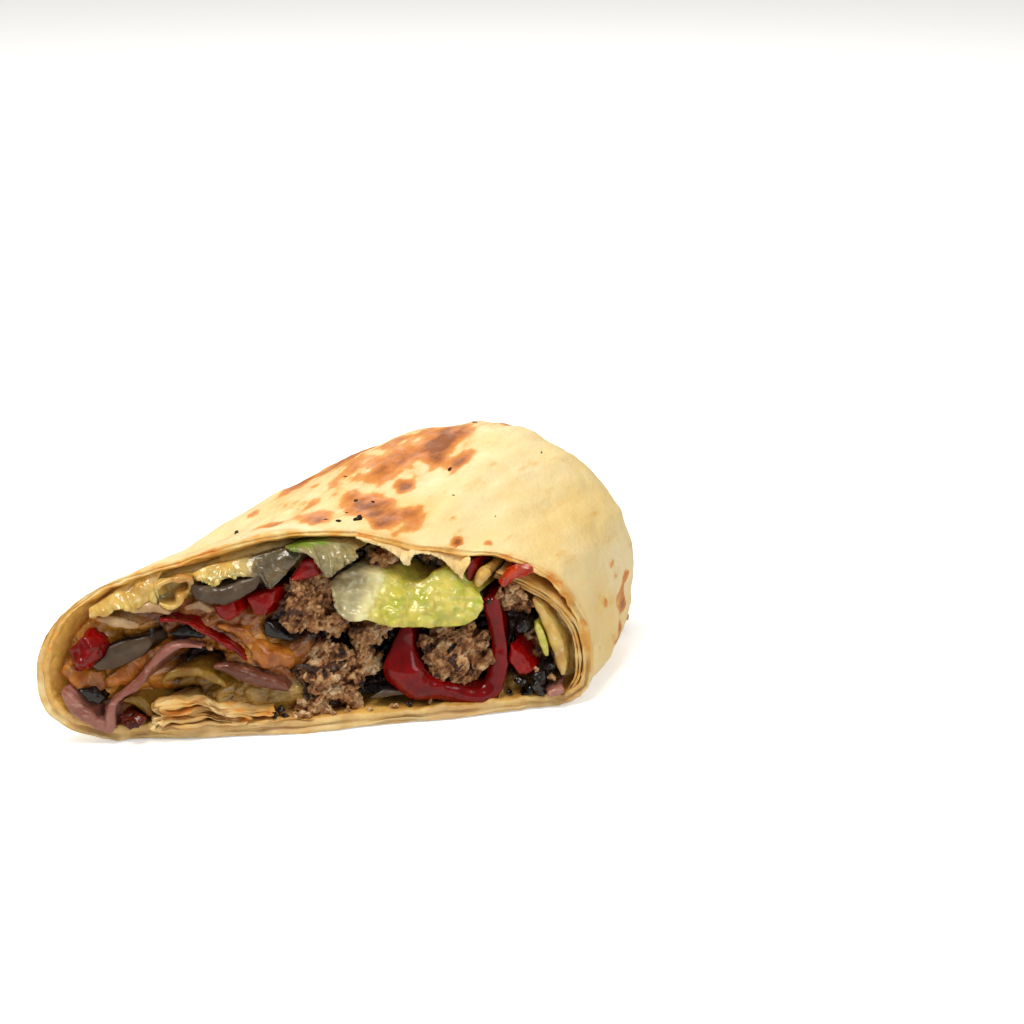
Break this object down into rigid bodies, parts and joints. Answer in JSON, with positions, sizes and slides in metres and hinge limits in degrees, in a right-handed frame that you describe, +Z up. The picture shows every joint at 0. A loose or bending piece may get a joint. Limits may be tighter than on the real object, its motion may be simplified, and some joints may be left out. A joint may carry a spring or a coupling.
{
  "type": "sandwich wrap half",
  "caption": "Cut half of a filled flatbread wrap: a toasted rolled sheet with a slanted cut face that shows meat, pepper, olive, cheese and leaf filling, and a folded far end.",
  "frame": {"origin": "middle of the footprint's bounding box, on the surface that the wrap lies on", "axes": "+X runs along the cut face to the right as seen from the cut side, -Y faces out of the cut face, +Y runs back into the wrap, +Z up"},
  "size_m": [0.1304, 0.0736, 0.0492],
  "materials": {
    "bread": "matt toasted flatbread, pale cream-yellow with brown blotches",
    "meat": "moist crumbled cooked meat, dark brown",
    "pepper": "wet roasted pepper, deep red",
    "tomato": "wet tomato skin, orange-red, browned in places",
    "olive": "moist black olive, taupe-grey where cut",
    "onion": "glossy cooked onion, translucent",
    "cheese": "melted cheese, orange-yellow",
    "ham": "moist cooked ham, greyish pink",
    "pickle": "moist pickled pepper, olive-yellow",
    "cabbage": "crisp pale shreds and ribs, cream-yellow",
    "lettuce": "glossy leaf, yellow-green to bright green"
  },
  "bodies": {
    "root": {"cabbage_left": "cabbage", "cabbage_loop": "cabbage", "cabbage_rib": "cabbage", "cabbage_right": "cabbage", "cheese_left": "cheese", "cheese_mid": "cheese", "cheese_strip": "cheese", "ground_meat": "meat", "ham_heel": "ham", "ham_low": "ham", "ham_mid": "ham", "ham_ribbon": "ham", "lettuce_grey": "lettuce", "lettuce_hanging": "lettuce", "lettuce_leaf": "lettuce", "lettuce_right": "lettuce", "lettuce_sprig": "lettuce", "olive_bottom": "olive", "olive_crescent": "olive", "olive_left": "olive", "olive_low": "olive", "olive_mid": "olive", "olive_right_lower": "olive", "olive_right_upper": "olive", "olive_upper": "olive", "onion_brown": "onion", "onion_left": "onion", "onion_mid": "onion", "pepper_dice_left": "pepper", "pepper_dice_right": "pepper", "pepper_left": "pepper", "pepper_right": "pepper", "pepper_ring": "pepper", "pepper_shred": "pepper", "pepper_sliver": "pepper", "pepper_top": "pepper", "pickle_low": "pickle", "pickle_top": "pickle", "tomato_charred": "tomato", "tomato_skin": "tomato", "tortilla": "bread"}
  },
  "joints": []
}
